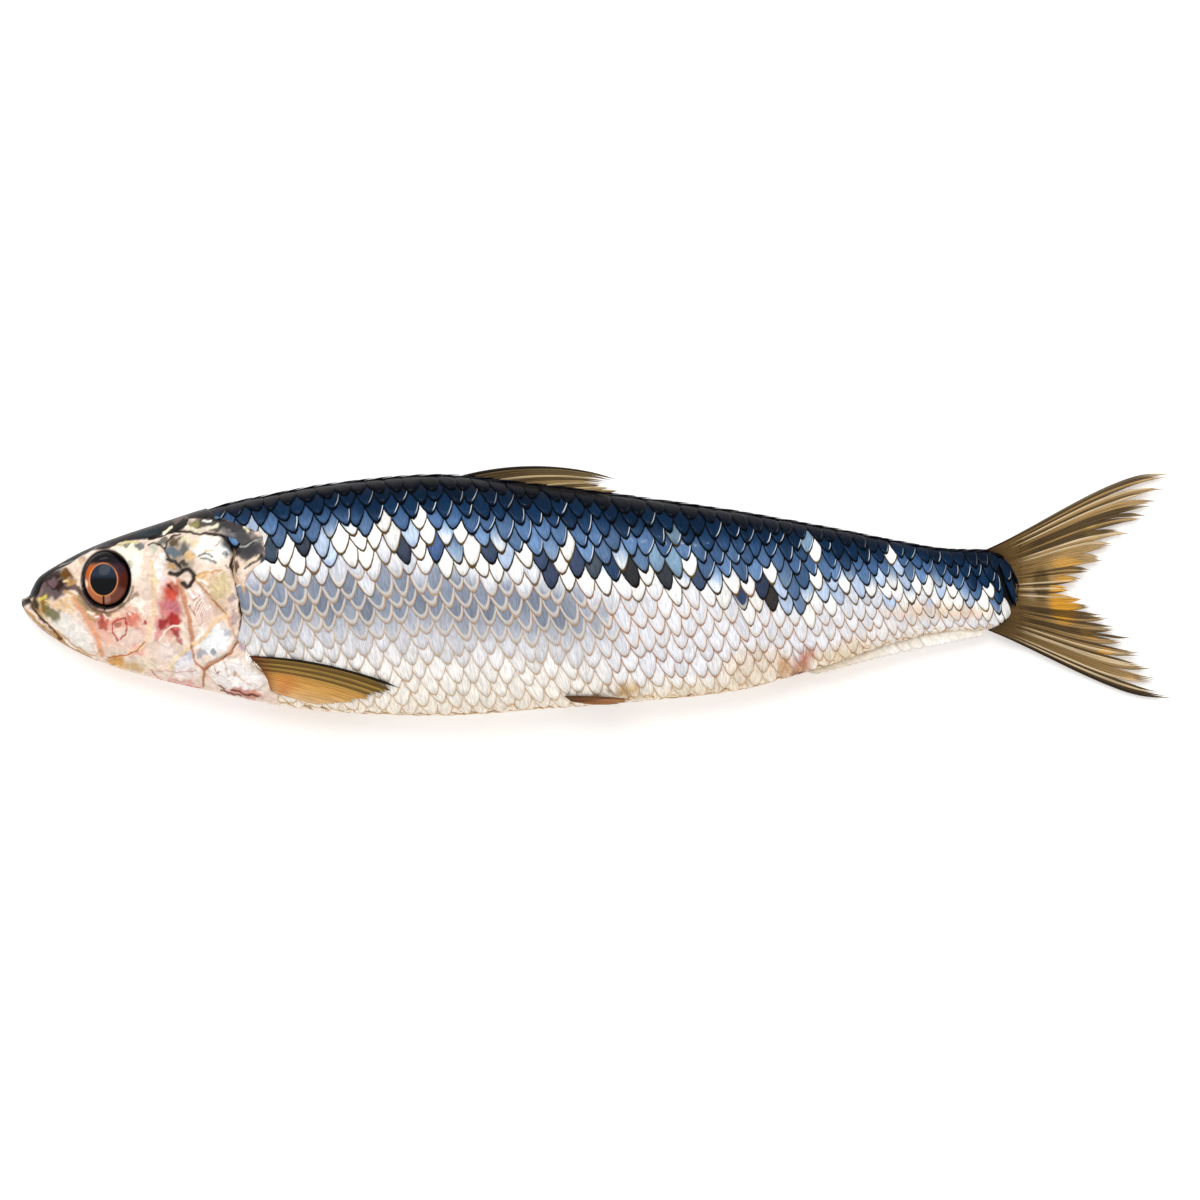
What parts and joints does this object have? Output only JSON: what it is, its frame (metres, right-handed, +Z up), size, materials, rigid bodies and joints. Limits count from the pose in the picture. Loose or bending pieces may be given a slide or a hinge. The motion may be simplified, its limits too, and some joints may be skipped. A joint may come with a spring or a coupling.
{
  "type": "whole sardine",
  "caption": "Whole raw sardine lying on its right flank: blue-backed, silver-bellied scaled trunk, bony head with closed gill cover, soft-rayed fins and a forked tail.",
  "frame": {"origin": "on the surface the fish lies on, under the middle of its bounding box", "axes": "+X from the snout to the tail, +Y from the belly to the back, +Z up, out of the left flank that shows"},
  "size_m": [0.18, 0.0388, 0.0172],
  "materials": {
    "skin": "wet silvery scaled skin",
    "eye": "wet clear eye over a dark pupil and copper iris",
    "fin": "amber rays with thin translucent skin",
    "pale_fin": "cream translucent skin"
  },
  "bodies": {
    "root": {"body": "skin", "eye_left": "eye", "eye_right": "eye", "dorsal_fin": "fin", "anal_fin": "pale_fin", "tail_fin": "fin", "pectoral_fin_left": "fin", "pectoral_fin_right": "fin", "pelvic_fin_left": "fin", "pelvic_fin_right": "fin"}
  },
  "joints": []
}
